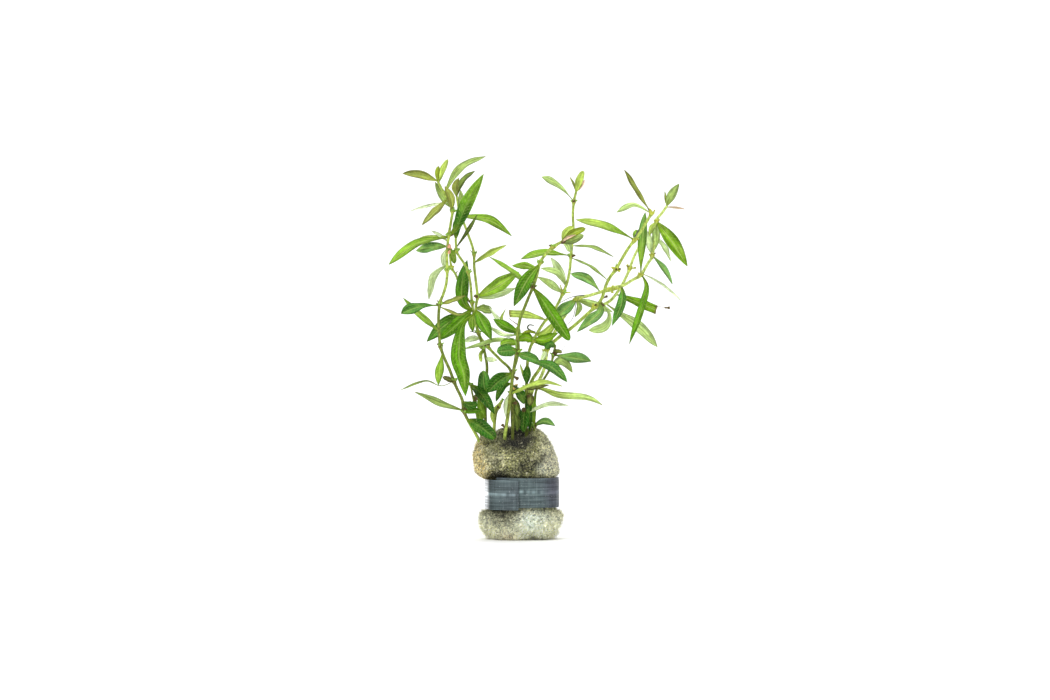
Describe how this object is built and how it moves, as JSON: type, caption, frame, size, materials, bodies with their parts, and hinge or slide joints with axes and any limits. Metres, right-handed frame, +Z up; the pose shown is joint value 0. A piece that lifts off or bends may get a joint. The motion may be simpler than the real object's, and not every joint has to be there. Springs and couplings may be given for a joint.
{
  "type": "rotala bunch",
  "caption": "Bunch of an aquarium stem plant: long leafy stems rooted in a foam plug that a flat lead strip cinches at its waist.",
  "frame": {"origin": "centre of the foam plug's flat foot, on the surface that the bunch stands on", "axes": "+Z up along the stems, +X to the right in the picture, +Y away from the viewer"},
  "size_m": [0.1194, 0.0509, 0.1533],
  "materials": {
    "foam": "matte",
    "lead": "satin",
    "stem_olive": "satin",
    "stem_light": "satin",
    "leaf_vivid": "satin",
    "leaf_bright": "satin",
    "leaf_dark": "satin",
    "leaf_blue": "satin",
    "leaf_light": "satin",
    "leaf_pale": "satin",
    "leaf_olive": "satin",
    "leaf_straw": "satin"
  },
  "bodies": {
    "root": {"foam_plug": "foam", "lead_band": "lead", "far_left_stem": "stem_olive", "far_left_leaf_1": "leaf_olive", "far_left_leaf_2": "leaf_light", "far_left_leaf_3": "leaf_vivid", "far_left_leaf_4": "leaf_olive", "far_left_leaf_5": "leaf_bright", "far_left_leaf_6": "leaf_blue", "far_left_leaf_7": "leaf_pale", "far_left_leaf_8": "leaf_blue", "far_left_leaf_9": "leaf_bright", "far_left_leaf_10": "leaf_blue", "far_left_leaf_11": "leaf_dark", "left_back_stem": "stem_olive", "left_back_leaf_1": "leaf_vivid", "left_back_leaf_2": "leaf_dark", "left_back_leaf_3": "leaf_vivid", "left_inner_stem": "stem_olive", "left_inner_leaf_1": "leaf_vivid", "left_inner_leaf_2": "leaf_vivid", "left_inner_leaf_3": "leaf_bright", "left_inner_leaf_4": "leaf_blue", "left_inner_leaf_5": "leaf_bright", "left_shoot_stem": "stem_light", "left_low_stem": "stem_olive", "left_low_leaf_1": "leaf_dark", "low_shoot_stem": "stem_light", "front_stem": "stem_olive", "front_leaf_1": "leaf_vivid", "front_leaf_2": "leaf_vivid", "front_leaf_3": "leaf_blue", "front_leaf_4": "leaf_blue", "front_leaf_5": "leaf_light", "middle_stem": "stem_olive", "middle_leaf_1": "leaf_dark", "middle_leaf_2": "leaf_dark", "right_upper_stem": "stem_olive", "right_upper_leaf_1": "leaf_vivid", "right_upper_leaf_2": "leaf_straw", "right_upper_leaf_3": "leaf_dark", "right_upper_leaf_4": "leaf_bright", "right_upper_leaf_5": "leaf_light", "right_main_stem": "stem_light", "right_main_leaf_1": "leaf_bright", "right_main_leaf_2": "leaf_dark", "right_main_leaf_3": "leaf_olive", "right_fork_stem": "stem_light", "right_fork_leaf_1": "leaf_vivid", "right_fork_leaf_2": "leaf_light", "right_back_stem": "stem_light", "right_back_leaf_1": "leaf_blue", "right_back_leaf_2": "leaf_vivid", "right_back_leaf_3": "leaf_dark", "right_back_leaf_4": "leaf_vivid", "right_back_leaf_5": "leaf_vivid", "right_back_leaf_6": "leaf_vivid", "right_low_stem": "stem_olive", "right_low_leaf_1": "leaf_blue", "right_low_leaf_2": "leaf_bright"}
  },
  "joints": []
}
